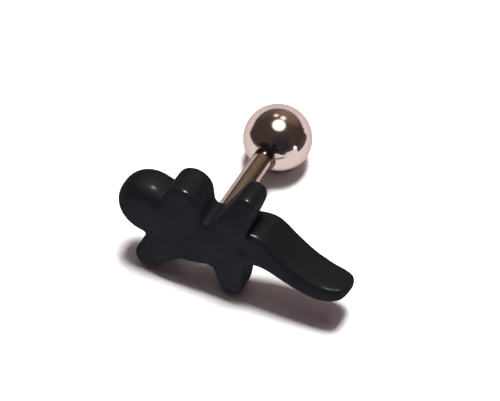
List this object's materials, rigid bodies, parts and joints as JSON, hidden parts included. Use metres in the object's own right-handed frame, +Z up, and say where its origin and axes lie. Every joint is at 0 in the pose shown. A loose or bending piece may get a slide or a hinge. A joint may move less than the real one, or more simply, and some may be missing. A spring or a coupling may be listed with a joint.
{
  "type": "barbell stud earring with an animal figure",
  "caption": "Barbell stud: a black moulded four-legged figure on a straight steel bar with a screw-on steel ball, lying on its ball and lower feet.",
  "frame": {"origin": "middle of the lying earring's box, on the surface that it rests on", "axes": "+Z up, +X from the figure's head to its tail, +Y from the figure to the ball; the bar slopes 9.0 degrees down towards the ball"},
  "size_m": [0.0136, 0.0122, 0.008],
  "materials": {
    "figure": "satin black moulded acrylic",
    "bar": "polished surgical steel",
    "ball": "mirror-polished surgical steel"
  },
  "bodies": {
    "stud": {"animal_figure": "figure", "ear_bar": "bar"},
    "ball": {"screw_ball": "ball"}
  },
  "joints": [
    {"name": "ball_off", "type": "slide", "parent": "stud", "child": "ball", "axis": [0, 0.9876, -0.1571], "range_m": [0, 0.008]}
  ]
}
